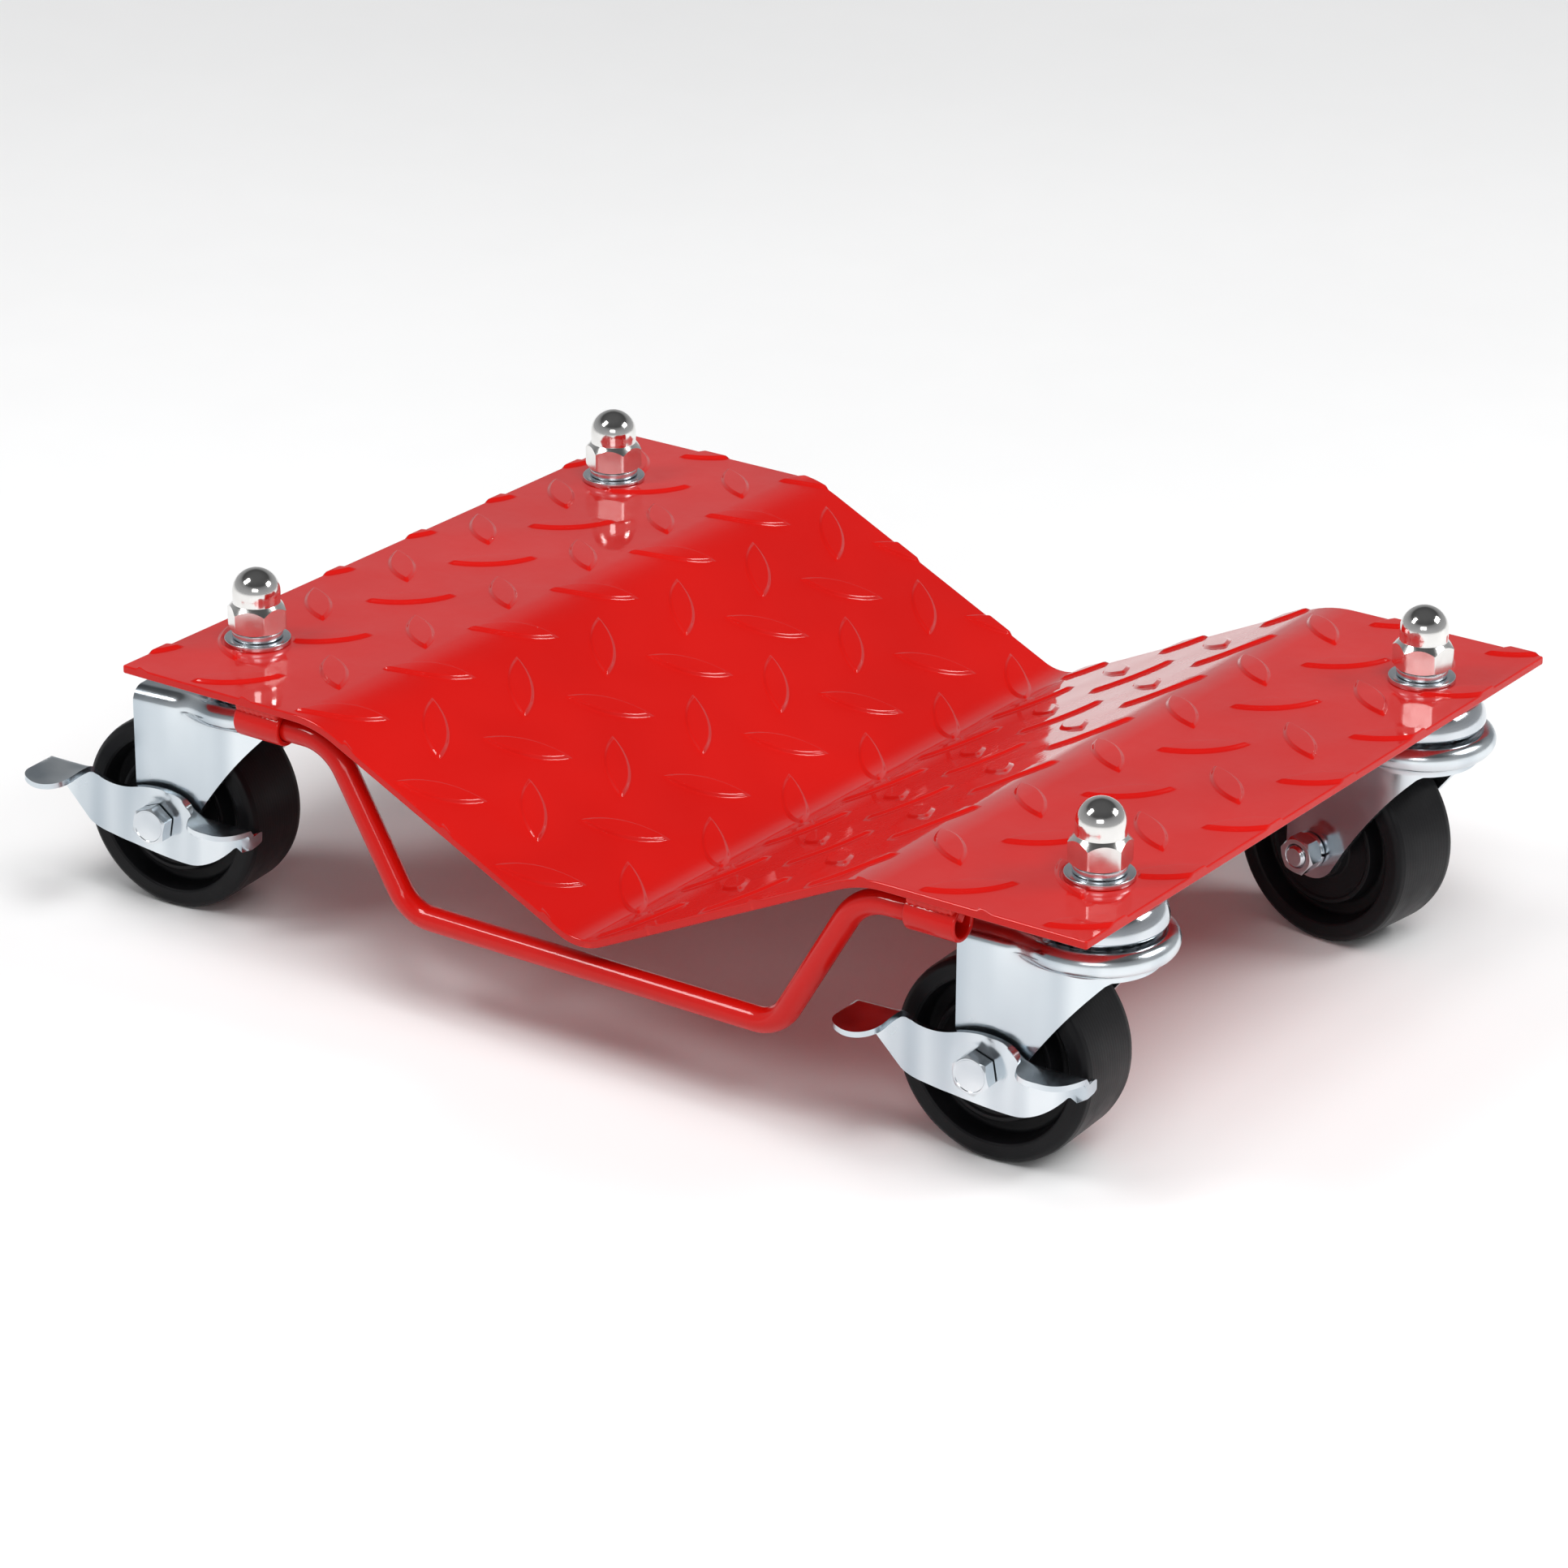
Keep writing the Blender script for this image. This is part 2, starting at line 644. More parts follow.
def weld_bead(length, seed, outer):
    """A wavy fillet weld between a socket and the sheet, flush on the outer (1 or -1) side."""
    columns, points = 34, 13
    top = SOCKET_R - 0.02
    rings = []
    for i in range(columns + 1):
        x = length * (i / columns - 0.5)
        taper = min(1.0, (1 - abs(2 * i / columns - 1)) * 9) ** 0.5
        ripple = 0.32 * math.sin(x * 2.6 + seed) + 0.5 * noise.noise(Vector((x * 0.35, seed, 0)))
        foot = (WELD_FOOT + ripple * 0.8) * (0.55 + 0.45 * taper)
        ring = []
        for k in range(points):
            t = k / (points - 1) * 2 - 1
            y = math.copysign(1, t) * foot * min(1.0, abs(t) * 1.15)
            y = min(y * outer, WELD_FLUSH + 0.15 * ripple) * outer
            z = top - (1 - abs(t)) * top * (0.95 + 0.05 * taper) if abs(t) < 0.87 else top
            ring.append(Vector((x, y, z - 0.25 * (1 + ripple) * math.sin(math.pi * abs(t)))))
        rings.append(ring)
    return skin(rings)


def build_sockets():
    half = SOCKET_LENGTH / 2
    section = fillet(rectangle(ROD_BORE_R, SOCKET_R - 0.01, -half, half), 0.7)
    tube_shape = moved(lathe(section, 48), rotation(90, "Y"))
    for side, across in ((-1, "left"), (1, "right")):
        for row, outer in (("front", -1), ("rear", 1)):
            pivot = joint_mm(f"bail_{row}_swing")
            weld = weld_bead(SOCKET_LENGTH - 1.0, side * 2.3 + pivot.y * 0.035, outer)
            where = Matrix.Translation((DECK_X + side * SOCKET_X, pivot.y, pivot.z))
            shape = join_shapes(tube_shape, weld)
            put(f"socket_{row}_{across}", shape, RED, where, "frame", "bail_sockets", sharp=50)


def bail_path():
    """Centreline of the bent rod, from its left end to its right end, about the pivot."""
    right = [(BAIL_BOTTOM_X, -BAIL_DROP), (BAIL_TOP_X, 0), (BAIL_END_X, 0)]
    left = [(-x, z) for x, z in reversed(right)]
    bends = [0, BAIL_TOP_BEND, BAIL_LOW_BEND, BAIL_LOW_BEND, BAIL_TOP_BEND, 0]
    corners = fillet(left + right, bends, steps=14, closed=False)
    path = []
    for a, b in zip(corners, corners[1:]):
        parts = max(1, int((b - a).length / 12))
        path += [a.lerp(b, k / parts) for k in range(parts)]
    return path + [corners[-1]]


def build_bails():
    for body in ("bail_front", "bail_rear"):
        pivot = Matrix.Translation(joint_mm(body + "_swing"))
        put("rod_of_" + body, tube(bail_path(), ROD_R), RED, pivot, body, body)


# ---------- threaded fasteners ----------

HEX_CORNER_R = 0.35
HEX_SIDE_PARTS = 12


def hexagon(across_flats):
    """Outline of a hexagon with a flat facing +X and slightly rounded corners."""
    r = across_flats / 2 / math.cos(math.radians(30))
    rounded = fillet(arc((0, 0), r, 30, 330, 5), HEX_CORNER_R, steps=2)
    out = []
    for a, b in zip(rounded, rounded[1:] + rounded[:1]):
        parts = HEX_SIDE_PARTS if (b - a).length > 1 else 1
        out += [a.lerp(b, k / parts) for k in range(parts)]
    return out


def ring_like(outline, radius, z):
    """A circle with one point for each point of an outline."""
    return [p.normalized().to_3d() * radius + Vector((0, 0, z)) for p in outline]


def hex_rows(across_flats, height, base=0.0, foot=True, head_r=None, head_chamfer=30.0):
    """Rings of a hexagon chamfered by cones at its head and, if asked, at its foot."""
    outline = hexagon(across_flats)
    foot_r = across_flats / 2 * 0.965
    head_r = head_r or foot_r
    top = base + height
    foot_fall = math.tan(math.radians(30)) if foot else 0.0
    head_fall = math.tan(math.radians(head_chamfer))
    rows = [ring_like(outline, foot_r, base)] if foot else []
    rows.append([Vector((p.x, p.y, base + (p.length - foot_r) * foot_fall)) for p in outline])
    rows.append([Vector((p.x, p.y, top - (p.length - head_r) * head_fall)) for p in outline])
    return rows + [ring_like(outline, head_r, top)]


NUT_AF = 19.0
NUT_HEX_H = 10.2
NUT_DOME_R = 8.7
NUT_TOP = 23.0
NUT_NECK_R = NUT_DOME_R - 0.1
NUT_CHAMFER = 50
WASHER_ROUND = 0.35
STUD_R = 6.0
FLAT_WASHER_R = 12.0
FLAT_WASHER_T = 2.2
SPRING_WASHER_R = 9.2
SPRING_WASHER_T = 3.0
NUT_TURN = {"front_left": -6, "front_right": 9.5, "rear_left": -2.5, "rear_right": -8.5}


def cap_nut_shape():
    """Hexagon with a neck and a round dome."""
    outline = hexagon(NUT_AF)
    rows = hex_rows(NUT_AF, NUT_HEX_H, head_r=NUT_NECK_R + 0.15, head_chamfer=NUT_CHAMFER)
    rows.append(ring_like(outline, NUT_NECK_R + 0.04, NUT_HEX_H + 0.15))
    rows.append(ring_like(outline, NUT_NECK_R, NUT_HEX_H + 0.4))
    centre = NUT_TOP - NUT_DOME_R
    rows.append(ring_like(outline, NUT_DOME_R, centre - 1.5))
    rows += [ring_like(outline, r, centre + z) for r, z in arc((0, 0), NUT_DOME_R, 0, 84, 14)]
    rows.append(ring_like(outline, 0.25, NUT_TOP))
    return skin(rows)


def washer_shape(outer, inner, thickness):
    return lathe(fillet(rectangle(inner, outer, 0, thickness), WASHER_ROUND, 3), 80)


SPLIT_GAP = 9.0  # degrees
SPLIT_SLANT = 5.0


def split_washer_shape(outer, inner, thickness, base, lift=0.35):
    """A coiled spring washer, cut at a slant, its two ends a little out of line."""
    section = fillet(rectangle(inner, outer, 0, thickness), WASHER_ROUND, 3)
    steps = 76
    rings = []
    for i in range(steps + 1):
        t = i / steps
        rise = lift * (t - 0.5) * smooth_step(abs(2 * t - 1) * 1.6 - 0.6)
        ring = []
        for r, z in section:
            slant = (z / thickness - 0.5) * SPLIT_SLANT
            a = math.radians(SPLIT_GAP / 2 + slant + (360 - SPLIT_GAP) * t)
            ring.append(Vector((r * math.cos(a), r * math.sin(a), base + z + rise)))
        rings.append(ring)
    return skin(rings)


def build_deck_fasteners():
    washer = washer_shape(FLAT_WASHER_R, STUD_R + 0.4, FLAT_WASHER_T)
    base = FLAT_WASHER_T + 0.17
    spring = split_washer_shape(SPRING_WASHER_R, STUD_R + 0.1, SPRING_WASHER_T - 0.35, base)
    nut = moved(cap_nut_shape(), Matrix.Translation((0, 0, FLAT_WASHER_T + SPRING_WASHER_T)))
    for corner in CORNERS:
        stem = joint_mm("swivel_" + corner)
        seat = Matrix.Translation((stem.x, stem.y, DECK_TOP))
        put("flat_washer_" + corner, washer, ZINC, seat, "frame", "flat_washers")
        put("spring_washer_" + corner, spring, ZINC, seat @ rotation(40, "Z"), "frame", "spring_washers")
        turned = seat @ rotation(NUT_TURN[corner], "Z")
        put("cap_nut_" + corner, nut, CHROME, turned, "frame", "cap_nuts", sharp=20)


# ---------- caster: swivel head and fork ----------

FORK_SHEET = 2.5
CROWN_TOP = DECK_TOP - 19.0
CROWN_UNDER = CROWN_TOP - FORK_SHEET
FORK_HALF = 20.5
FORK_SHOULDER_R = 5.5
LEG_END_R = 11.0
TRAIL = -AXLE.x
FOOT_X = -TRAIL + LEG_END_R * math.cos(math.radians(30))   # front of the leg's round end
RING_R = 23.0
RING_SECTION_R = 4.5
RING_Z = DECK_TOP - 21.0


def leg_bottom(x):
    """Lowest level of the fork's wall at a distance x from the stem."""
    if x < FOOT_X:
        return AXLE.z - math.sqrt(max(0.0, LEG_END_R ** 2 - (x + TRAIL) ** 2))
    foot = (FOOT_X, AXLE.z - LEG_END_R / 2)
    edge = bezier(foot, (-5, AXLE.z + 21), (FORK_HALF - 1, CROWN_UNDER - 1), 40)
    for a, b in zip(edge, edge[1:]):
        if a.x <= x <= b.x:
            return a.y + (b.y - a.y) * (x - a.x) / (b.x - a.x)
    return edge[-1].y


FORK_FLARE = 1.0                   # how much wider the round front is than the legs
FORK_BLEND = 22.0                  # length over which the legs turn into that front
FORK_EDGE = 0.4
STEM_BORE_R = 6.1
BOSS_R = 12.0                      # the legs are pressed in a little round the axle
BOSS_DEPTH = 0.35
BOSS_SOFT = 3.0


def fork_stations():
    """Plan points, outward directions and inner ends of the wall, from the rear left round to the right."""
    side = [-TRAIL - LEG_END_R * math.cos(math.radians(7.5 * k)) for k in range(21)]
    start = side[-1]
    side += [start * (1 - k / 16) for k in range(1, 16)]
    front = FORK_HALF + FORK_FLARE
    left = [Vector((x, FORK_HALF + FORK_FLARE * smooth_step((x + TRAIL - 4) / FORK_BLEND))) for x in side]
    left += arc((0, 0), front, 90, 6, 14)
    points = left + [Vector((front, 0))] + [Vector((p.x, -p.y)) for p in reversed(left)]
    stations = []
    for i, p in enumerate(points):
        ahead = points[min(i + 1, len(points) - 1)] - points[max(i - 1, 0)]
        out = Vector((-ahead.y, ahead.x)).normalized()
        if p.x > 0:
            inner = p.normalized() * STEM_BORE_R
        else:
            bore = math.sqrt(max(0.0, STEM_BORE_R ** 2 - p.x ** 2))
            inner = Vector((p.x, math.copysign(bore, p.y)))
        stations.append((p, out, inner))
    return stations


def leg_corner():
    """Plain rounded shoulder of a leg: (distance out of the wall, level below the crown)."""
    points = [Vector((-6.0 + 0.13 * k, 0)) for k in range(4)]
    points += arc((-FORK_SHOULDER_R, -FORK_SHOULDER_R), FORK_SHOULDER_R, 83, 0, 12)
    return points + [Vector((0, -6.4 - 0.85 * k)) for k in range(4)]


def ring_corner():
    """The same stretch where the race ring bulges out of it, with a hollow above and below."""
    middle = Vector((RING_R - FORK_HALF - FORK_FLARE, RING_Z - CROWN_TOP))
    above, below = 1.5, 2.5            # radii of the two hollows
    high = Vector((middle.x - math.sqrt((RING_SECTION_R + above) ** 2 - (above - middle.y) ** 2), above))
    low = Vector((below, middle.y - math.sqrt((RING_SECTION_R + below) ** 2 - (middle.x - below) ** 2)))
    turn_in = math.degrees(math.atan2(high.y - middle.y, high.x - middle.x))
    turn_out = math.degrees(math.atan2(low.y - middle.y, low.x - middle.x))
    points = [Vector((-6.0, 0))]
    points += arc(high, above, -90, turn_in - 180, 2)
    points += arc(middle, RING_SECTION_R, turn_in, turn_out, 13)[1:]
    return points + arc(low, below, turn_out + 180, 180, 4)[1:]


def fork_shape():
    """The outer face of the pressing; its thickness is added inwards."""
    crown_rows, wall_rows = 4, 34
    plain, ringed = leg_corner(), ring_corner()
    verts, faces = [], []
    stations = fork_stations()
    for plan, out, inner in stations:
        bulge = smooth_step((plan.x + 24) / FORK_BLEND)
        shoulder = plan + out * plain[0].x
        for k in range(crown_rows):
            p = inner.lerp(shoulder, k / crown_rows)
            verts.append(Vector((p.x, p.y, CROWN_TOP)))
        for a, b in zip(plain, ringed):
            mid = a.lerp(b, bulge)
            p = plan + out * mid.x
            verts.append(Vector((p.x, p.y, CROWN_TOP + mid.y)))
        top = verts[-1].z
        low = min(leg_bottom(plan.x), top - 0.6)
        for k in range(1, wall_rows + 1):
            z = top + (low - top) * k / wall_rows
            far = math.hypot(plan.x + TRAIL, z - AXLE.z)
            p = plan - out * BOSS_DEPTH * (1 - smooth_step((far - BOSS_R) / BOSS_SOFT))
            verts.append(Vector((p.x, p.y, z)))
    rows = crown_rows + len(plain) + wall_rows
    for i in range(len(stations) - 1):
        for k in range(rows - 1):
            a = i * rows + k
            faces.append([a, a + rows, a + rows + 1, a + 1])
    return verts, faces


def thicken(obj, toward, thickness, bevel):
    """Gives an open sheet its thickness behind the face that looks one way, and rounds its rim."""
    total = sum((face.normal * face.area for face in obj.data.polygons), Vector())
    if total.dot(Vector(toward)) < 0:
        obj.data.flip_normals()
    solid = obj.modifiers.new("sheet", "SOLIDIFY")
    solid.thickness = thickness * MM
    solid.offset = -1
    solid.use_even_offset = True
    edges = obj.modifiers.new("edges", "BEVEL")
    edges.width = bevel * MM
    edges.segments = 3
    edges.limit_method = "ANGLE"
    edges.angle_limit = math.radians(50)
    edges.harden_normals = True


CUP_RIM_R = 23.6
RACE_ROOF = CROWN_TOP + 5.33
CUP_RIM_Z = RACE_ROOF - 1.0


def cup_section():
    """Upper race cup: a domed pressing with a thin rolled rim, from its bore outwards and back under."""
    under_deck = DECK_TOP - SHEET
    dome_z = CUP_RIM_Z + 1.4
    dome_r = under_deck - dome_z
    bore, floor = STUD_R + 0.05, CROWN_TOP + 0.3
    section = [(bore, under_deck), (bore, floor), (11, floor), (12.5, RACE_ROOF)]
    section += [(CUP_RIM_R - 3, RACE_ROOF), (CUP_RIM_R - 1.5, CUP_RIM_Z), (CUP_RIM_R - 0.5, CUP_RIM_Z)]
    return section + arc((CUP_RIM_R - dome_r, dome_z), dome_r, 0, 90, 16)


def build_casters():
    for corner in CORNERS:
        place = caster_place(corner)
        body = "caster_" + corner
        fork = put("pressed_fork_" + corner, fork_shape(), PRESSED, place, body, "fork_" + corner)
        thicken(fork, (0, 0, 1), FORK_SHEET, FORK_EDGE)
        cup = lathe(cup_section(), 96)
        put("race_cup_" + corner, cup, POLISHED, place, "frame", "upper_cup_" + corner, sharp=30)
        build_axle(corner, place, body)
        build_wheel(corner, place)
        if corner in BRAKED:
            build_lever(corner, place)


# ---------- caster: axle ----------

BOLT_AF = 13.0
BOLT_HEAD_H = 5.3
AXLE_NUT_H = 6.5
LOCK_WASHER_R = 6.8
LOCK_WASHER_T = 2.0
SHIM_T = 1.4
LEVER_T = 2.0
RUNNING_GAP = 0.3
LEVER_BACK = FORK_HALF + SHIM_T + RUNNING_GAP
BRAKED_SEAT = LEVER_BACK + LEVER_T + RUNNING_GAP
BOLT_TAIL = 1.3
AXLE_R = 4.0
THREAD_PITCH = 1.25
THREAD_DEPTH = 0.55
THREAD_TIP = 0.9
HEAD_TURN = 10.0


def threaded_end(start, length):
    """The last turns of a coarse M8 thread, with a chamfered tip, along +Z."""
    steps, ridges = 48, 10
    rings = []
    for i in range(int(length / THREAD_PITCH * ridges) + 1):
        z = start + i * THREAD_PITCH / ridges
        tip = max(0.0, z - (start + length - THREAD_TIP))
        ring = []
        for k in range(steps):
            phase = (i / ridges - k / steps) % 1
            groove = THREAD_DEPTH * abs(2 * phase - 1)
            r = min(AXLE_R - groove, AXLE_R - tip * 0.9)
            a = 2 * math.pi * k / steps
            ring.append(Vector((r * math.cos(a), r * math.sin(a), z)))
        rings.append(ring)
    return skin(rings)


def axle_bar(low, high):
    """A plain stretch of the bolt, as good as solid."""
    return lathe(rectangle(0.01, AXLE_R, low, high), 40)


def bolt_head_shape(seat):
    """Hexagon head with a shallow dish in its face, and the shank behind it."""
    outline = hexagon(BOLT_AF)
    rings = hex_rows(BOLT_AF, BOLT_HEAD_H, foot=False)
    rings.append(ring_like(outline, BOLT_AF / 2 * 0.90, BOLT_HEAD_H - 0.01))
    rings.append(ring_like(outline, BOLT_AF / 2 * 0.86, BOLT_HEAD_H - 0.22))
    return join_shapes(skin(rings), axle_bar(-seat, 0.01))


def axle_nut_shape(low):
    """Hexagon nut with a countersunk bore."""
    outline = hexagon(BOLT_AF)
    high = low + AXLE_NUT_H
    bore = AXLE_R + 0.02
    rings = hex_rows(BOLT_AF, AXLE_NUT_H, low)
    rings += [ring_like(outline, r, z) for r, z in ((bore + 0.7, high), (bore, high - 0.6), (bore, low))]
    return skin(rings, loop=True)


def build_axle(corner, place, body):
    side = 1 if corner in BRAKED else -1
    seat = BRAKED_SEAT if corner in BRAKED else FORK_HALF
    axle = place @ Matrix.Translation(AXLE)
    head_side = axle @ rotation(90 * side, "X")
    nut_side = axle @ rotation(-90 * side, "X")
    turn = HEAD_TURN if corner == "front_right" else -HEAD_TURN
    where = head_side @ Matrix.Translation((0, 0, seat)) @ rotation(turn, "Z")
    bolt = "axle_bolt_" + corner
    put("axle_bolt_head_" + corner, bolt_head_shape(seat), ZINC, where, body, bolt, sharp=20)
    end_length = LOCK_WASHER_T + AXLE_NUT_H + BOLT_TAIL
    end = join_shapes(threaded_end(FORK_HALF, end_length), axle_bar(-1, FORK_HALF))
    put("axle_bolt_end_" + corner, end, ZINC, nut_side, body, bolt, sharp=40)
    base = FORK_HALF + 0.1
    spring = split_washer_shape(LOCK_WASHER_R, AXLE_R + 0.15, LOCK_WASHER_T - 0.2, base, lift=0.2)
    put("axle_lock_washer_" + corner, spring, ZINC, nut_side, body, "lock_washer_" + corner)
    nut = axle_nut_shape(FORK_HALF + LOCK_WASHER_T)
    where = nut_side @ rotation(20, "Z")
    put("axle_hex_nut_" + corner, nut, ZINC, where, body, "axle_nut_" + corner, sharp=20)


# ---------- caster: wheel ----------

WHEEL_HALF = 16.0
HUB_HALF = 17.3
GROOVE_DEPTH = 8.0
BUSH_R = 6.0


def wheel_section():
    """Half of the wheel's section as (radius, distance from its middle plane), then its mirror image."""
    w = WHEEL_HALF
    half = [(BUSH_R + 0.08, HUB_HALF), (11.6, HUB_HALF), (12.6, w - 2.2), (20.2, w - 2.2), (20.8, w - 1.4)]
    half += [(22.2, w - 1.6), (23.4, w - GROOVE_DEPTH), (28.2, w - GROOVE_DEPTH), (29.8, w - 0.5)]
    half += [(30.6, w), (WHEEL_R - 2.2, w), (WHEEL_R - 0.5, w - 1.1), (WHEEL_R, w - 3.4)]
    soft = [0.2, 0.9, 0.8, 0.3, 0.4, 0.5, 1.4, 1.4, 0.5, 0.4, 1.6, 1.6, 2.4]
    mirror = [(r, -y) for r, y in reversed(half)]
    return fillet(half + mirror, soft + soft[::-1], steps=5)


def build_wheel(corner, place):
    where = place @ Matrix.Translation(AXLE) @ rotation(90, "X")
    wheel = lathe(wheel_section(), 128)
    put("moulded_wheel_" + corner, wheel, PLASTIC, where, "wheel_" + corner, "wheel_" + corner, sharp=60)


# ---------- brake lever ----------

FOLD_R = 3.5                       # radius of the lever's back face round a fold
PEDAL_TOP = 14.5
PEDAL_REACH = 26.0
LEVER_ANGLE = {"front_left": 3.2, "front_right": 0.0}
FLANGE_TOP = 8.0
FLANGE_REACH = 14.5
TONGUE_FOLD_X = WHEEL_R - 0.2
TONGUE_FOLD_R = 1.0
TONGUE_REACH = 7.2
TONGUE_TOP = 3.7
TONGUE_FOOT = -0.6
LEVER_BORE_R = 4.1
LEVER_EDGE = 0.35
PEDAL_SIDE = -27.0                 # the pedal folds out left of this
FLANGE_SIDE = 18.0


def soft_rise(d, softness):
    """Rises at about 45 degrees beyond d = 0, and starts gently."""
    return 0.45 * (d + math.sqrt(d * d + softness * softness))


def fold_line(x):
    """Height at which the lever's plate starts to fold outwards, at a distance x from the axle."""
    pedal = PEDAL_TOP - FOLD_R + soft_rise(x - PEDAL_SIDE, 2.5)
    flange = FLANGE_TOP - FOLD_R + soft_rise(FLANGE_SIDE - x, 3.0)
    return min(pedal, flange)


def lever_point(p):
    """Place of a point of the lever's flat blank: x along it, w up it and then out along the tabs."""
    x, w = p
    y, z = 0.0, w
    if w < 4.0 and x > TONGUE_FOLD_X:
        angle = min((x - TONGUE_FOLD_X) / TONGUE_FOLD_R, math.pi / 2)
        rest = max(0.0, x - TONGUE_FOLD_X - TONGUE_FOLD_R * math.pi / 2)
        turned_in = TONGUE_FOLD_R * (1 - math.cos(angle)) + rest
        return Vector((TONGUE_FOLD_X + TONGUE_FOLD_R * math.sin(angle), turned_in, w))
    start = fold_line(x)
    if w > start:
        angle = min((w - start) / FOLD_R, math.pi / 2)
        rest = max(0.0, w - start - FOLD_R * math.pi / 2)
        y = -FOLD_R * (1 - math.cos(angle)) - rest
        z = start + FOLD_R * math.sin(angle)
    # a pressed boss round the axle, a small dimple above it, and ends that lean outwards
    y += 0.28 * (1 - smooth_step((math.hypot(x, w) - 9.0) / 2.4))
    y += 0.35 * smooth_step(1 - math.hypot(x - 4.0, w - 11.0) / 3.0)
    y -= 0.55 * smooth_step((x - 11.5) / 7) + 0.6 * smooth_step((-x - 17) / 9)
    return Vector((x, y, z))


def lever_outline():
    """Outline of the flat blank, clockwise from the pedal's outer left corner."""
    folded = FOLD_R * math.pi / 2 - 2 * FOLD_R     # what a fold adds to the blank's height
    pedal_end = PEDAL_TOP + PEDAL_REACH + folded
    flange_end = FLANGE_TOP + FLANGE_REACH + folded
    tongue_end = TONGUE_FOLD_X + TONGUE_FOLD_R * (math.pi / 2 - 1) + TONGUE_REACH
    points = bezier((-46.2, pedal_end - 9.5), (-45.9, pedal_end - 4.8), (-41.0, pedal_end - 2.0), 8)
    points += bezier((-40.0, pedal_end - 1.5), (-36, pedal_end + 0.7), (-32.3, pedal_end - 1.4), 8)
    points += bezier((-31.4, pedal_end - 2.1), (-28.0, pedal_end - 5), (-28.5, pedal_end - 11), 8)
    points += bezier((-28.8, pedal_end - 14), (-29.6, 17), (-27.5, 13.6), 8)
    points += bezier((-26.2, 12.3), (-19, 8.4), (-9.5, 11.4), 9)
    points += bezier((-8, 11.9), (4, 14.8), (13, 11.0), 10)
    points += bezier((14.5, 10.8), (17.6, 10.8), (18.6, 14.2), 5)
    points += bezier((18.6, 15.5), (20.5, flange_end + 1.5), (30, flange_end), 9)
    points += bezier((31.5, flange_end), (38.5, flange_end - 0.5), (41.2, 11), 8)
    points += [(41.4, 8.5), (41.4, 5.2)]
    points += [(TONGUE_FOLD_X - 0.4, 4.6), (TONGUE_FOLD_X - 0.8, 4.2), (TONGUE_FOLD_X - 0.4, TONGUE_TOP)]
    tongue = rectangle(tongue_end - 2, tongue_end, TONGUE_TOP, TONGUE_FOOT)
    points += fillet(tongue, [0, 1.2, 1.2, 0], closed=False)
    points += [(TONGUE_FOLD_X, TONGUE_FOOT), (35.5, -0.5)]
    points += bezier((34.5, -0.9), (24, -12.8), (13, -13.2), 12)
    points += bezier((11, -13.2), (3, -12.9), (-8.5, -11.4), 6)
    points += bezier((-10, -11.2), (-22, -10.2), (-28, -7.2), 7)
    points += bezier((-29.3, -6.3), (-35, -0.5), (-41, 5.5), 7)
    points += bezier((-42.0, 7), (-46.4, 11), (-46.3, 15), 5)
    return [Vector(p) for p in points]


def grid_points(loop, spacing, margin):
    """Evenly spaced points inside a loop, none nearer than margin to its corners."""
    xs, ys = [p.x for p in loop], [p.y for p in loop]
    columns, rows = (math.ceil((max(v) - min(v)) / spacing) for v in (xs, ys))
    low = Vector((min(xs), min(ys)))
    grid = [low + Vector((i, k)) * spacing for k in range(rows) for i in range(columns)]
    return [p for p in grid if inside(p, loop) and min((p - q).length for q in loop) > margin]


def lever_blank():
    """Triangles of the flat blank."""
    outline = lever_outline()
    bore = arc((0, 0), LEVER_BORE_R, 0, 348, 29)
    points = [p for p in grid_points(outline, 1.0, 0.55) if p.length > LEVER_BORE_R + 0.7]

    def keep(centre):
        return inside(centre, outline) and centre.length > LEVER_BORE_R - 0.01

    return triangulate([outline, bore], [], points, keep)


LEVER_FLAT, LEVER_FACES = lever_blank()


def build_lever(corner, place):
    shape = [lever_point(p) for p in LEVER_FLAT], LEVER_FACES
    turned = place @ Matrix.Translation(AXLE) @ rotation(LEVER_ANGLE[corner], "Y")
    where = turned @ Matrix.Translation((0, -LEVER_BACK, 0))
    node = "brake_lever_" + corner
    lever = put("lever_plate_" + corner, shape, PRESSED, where, node, node)
    thicken(lever, (0, 1, 0), LEVER_T, LEVER_EDGE)


# ---------- pieces kept from the CAD ----------

def finish_cad_nodes():
    looks = {"stem": ZINC, "lower_race": BEARING, "race_balls": POLISHED,
             "axle_bush": BEARING, "lever_shim": ZINC}
    for name, node in frame["nodes"].items():
        for start, material in looks.items():
            if name.startswith(start):
                for slot in node.material_slots:
                    slot.material = material


# ---------- floor, light and camera ----------

def build_floor():
    reach = 20000
    verts = [(x, y, 0) for x, y in rectangle(-reach, reach, -reach, reach)]
    s = Shader("pale_floor")
    s.feed("Base Color", s.ramp(s.noise(1.5, 2), (0.3, (0.84, 0.84, 0.84)), (0.7, (0.88, 0.88, 0.88))))
    s.feed("Roughness", s.spread(s.noise(30, 3), 0.5, 0.65))
    piece("floor", verts, [[0, 1, 2, 3]], s.material, Matrix())


def direction(azimuth, elevation):
    """Towards a place round the object, in degrees: azimuth 0 stands on the -Y side."""
    a, e = math.radians(azimuth), math.radians(elevation)
    return Vector((math.sin(a) * math.cos(e), -math.cos(a) * math.cos(e), math.sin(e)))


LIGHTS_AIM = Vector((0.02, 0, 0.05))


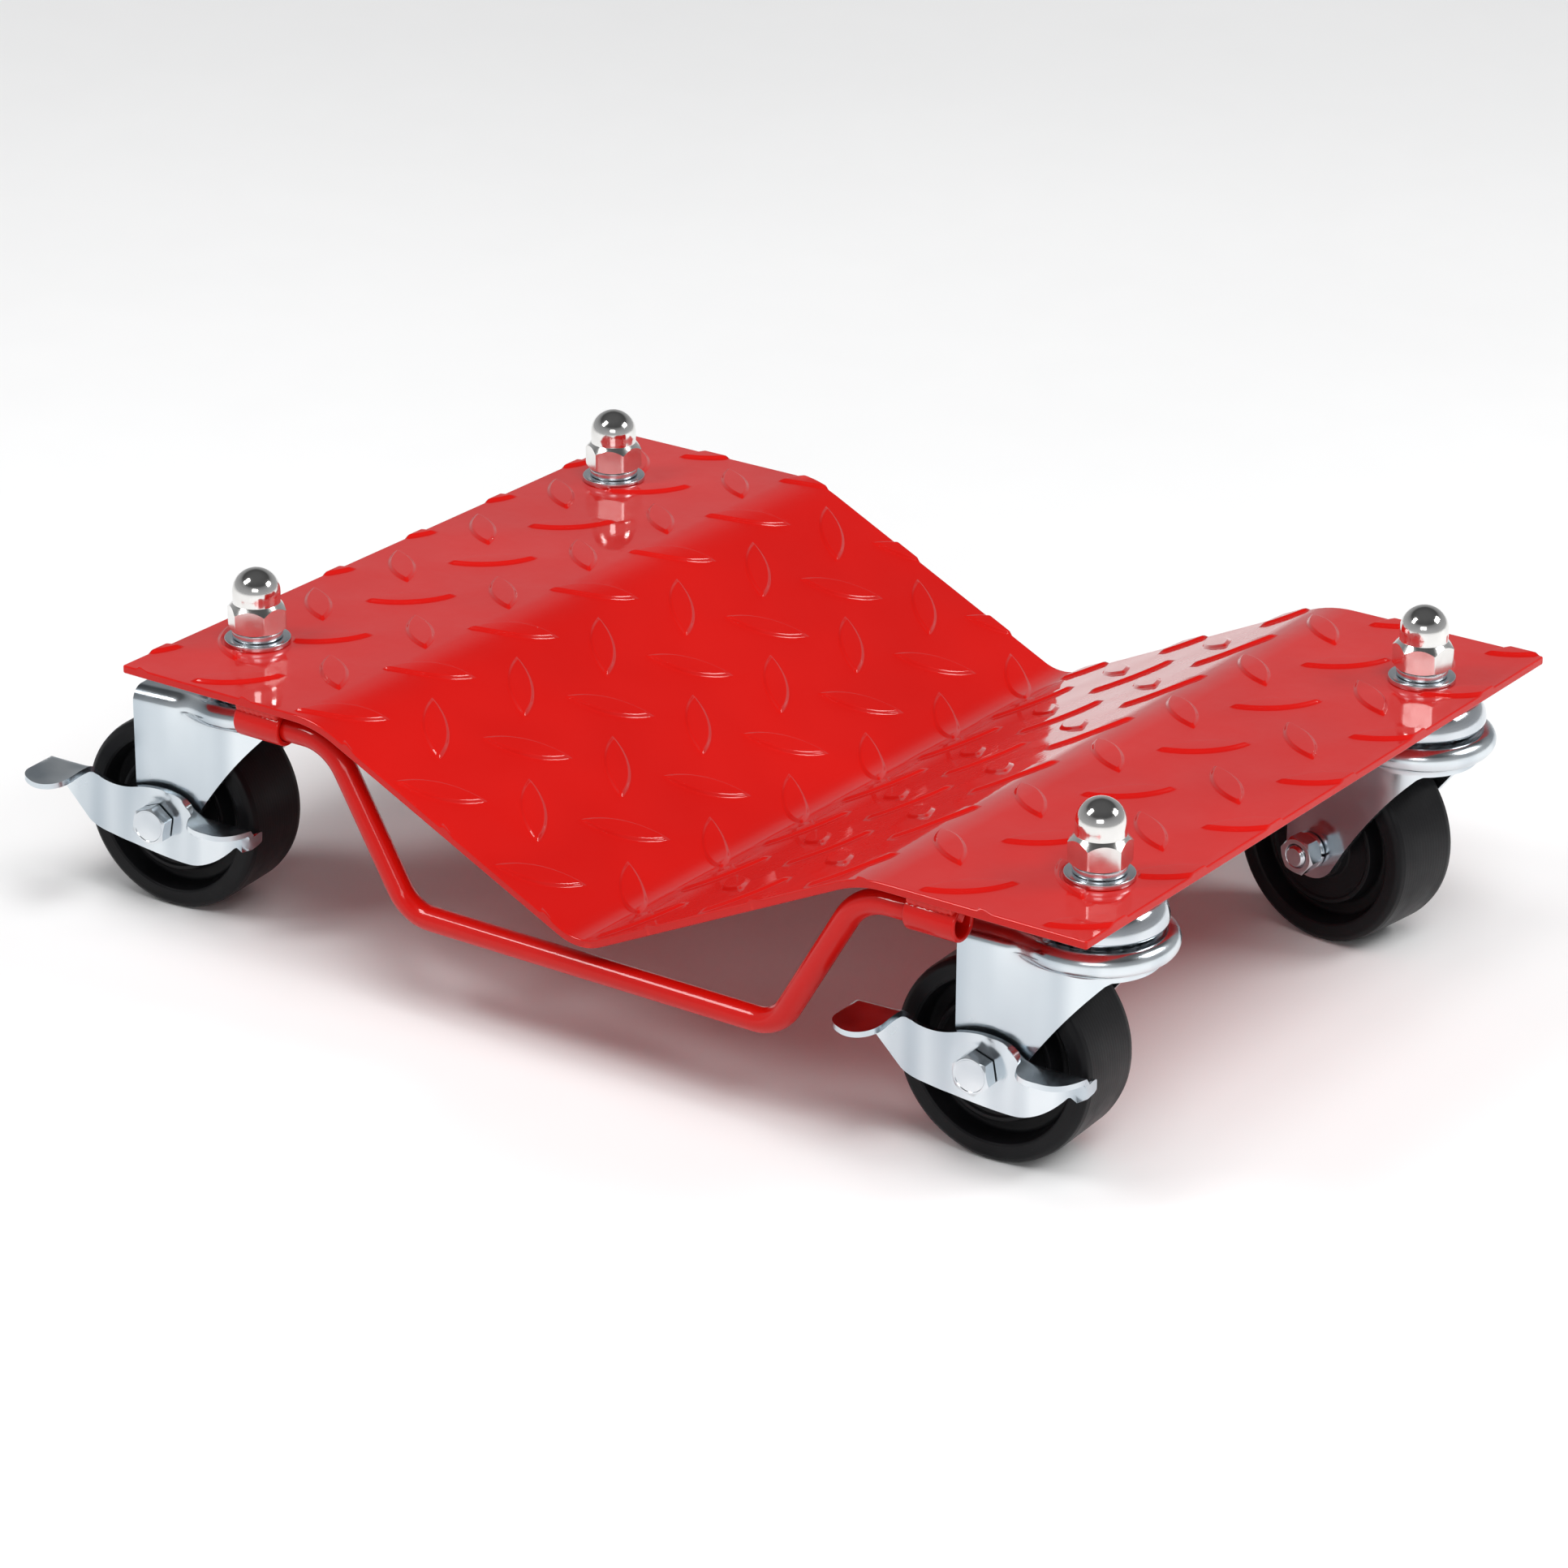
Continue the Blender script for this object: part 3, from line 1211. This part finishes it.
def lamp(name, kind, azimuth, elevation, distance, power, seen):
    """A light turned towards the object; returns its settings."""
    back = direction(azimuth, elevation)
    light = bpy.data.lights.new(name, kind)
    light.energy = power
    obj = add_object(name, light)
    obj.location = LIGHTS_AIM + back * distance
    obj.rotation_euler = back.to_track_quat("Z", "Y").to_euler()
    obj.visible_glossy = seen
    return light


def softbox(name, azimuth, elevation, distance, size, power, seen=True):
    """An area light that may be seen in reflections."""
    light = lamp(name, "AREA", azimuth, elevation, distance, power, seen)
    light.shape = "RECTANGLE"
    light.size, light.size_y = size


def build_world():
    """A bright band round the horizon under a darker ceiling."""
    world = bpy.data.worlds.new("studio")
    world.use_nodes = True
    nodes, links = world.node_tree.nodes, world.node_tree.links
    split = nodes.new("ShaderNodeSeparateXYZ")
    links.new(nodes.new("ShaderNodeTexCoord").outputs["Generated"], split.inputs[0])
    band = nodes.new("ShaderNodeValToRGB")
    band.color_ramp.interpolation = "EASE"
    stops = [(0.0, 0.42), (0.30, 0.33), (0.46, 0.25), (0.64, 0.07), (1.0, 0.10)]
    set_stops(band, [(position, (level, level * 1.01, level * 1.03)) for position, level in stops])
    links.new(split.outputs["Z"], band.inputs["Fac"])
    links.new(band.outputs["Color"], nodes["Background"].inputs["Color"])
    bpy.context.scene.world = world


def build_lights():
    build_world()
    lamp("even_light", "SUN", 55, 60, 0, 2.1, seen=False).angle = math.radians(35)
    softbox("key_left", -40, 48, 2.0, (0.5, 0.8), 11)
    softbox("key_right", 121, 37, 2.0, (0.85, 0.5), 13)
    softbox("front_card", 30, 24, 2.2, (1.0, 0.45), 5)
    softbox("overhead", 30, 84, 1.8, (0.7, 0.6), 7, seen=False)


CAMERA_AZIMUTH = 35.149
CAMERA_ELEVATION = 22.86
CAMERA_ROLL = 0.294
CAMERA_DISTANCE = 1.9069
CAMERA_TARGET = Vector((50.5, -103.3, 0))      # from the middle of the deck's flats
LENS = 129.39


def build_camera():
    back = direction(CAMERA_AZIMUTH, CAMERA_ELEVATION)
    data = bpy.data.cameras.new("camera")
    data.lens = LENS
    data.clip_start = 0.05
    data.clip_end = 50
    camera = add_object("camera", data)
    target = (CAMERA_TARGET + Vector((DECK_X, DECK_Y, DECK_TOP))) * MM
    upright = back.to_track_quat("Z", "Y").to_matrix()
    roll = Matrix.Rotation(math.radians(CAMERA_ROLL), 3, "Z")
    camera.matrix_world = Matrix.Translation(target + back * CAMERA_DISTANCE) @ (upright @ roll).to_4x4()
    bpy.context.scene.camera = camera
    bpy.context.scene.view_settings.view_transform = "Standard"


build_deck()
build_sockets()
build_bails()
build_deck_fasteners()
build_casters()
finish_cad_nodes()
build_floor()
build_lights()
build_camera()
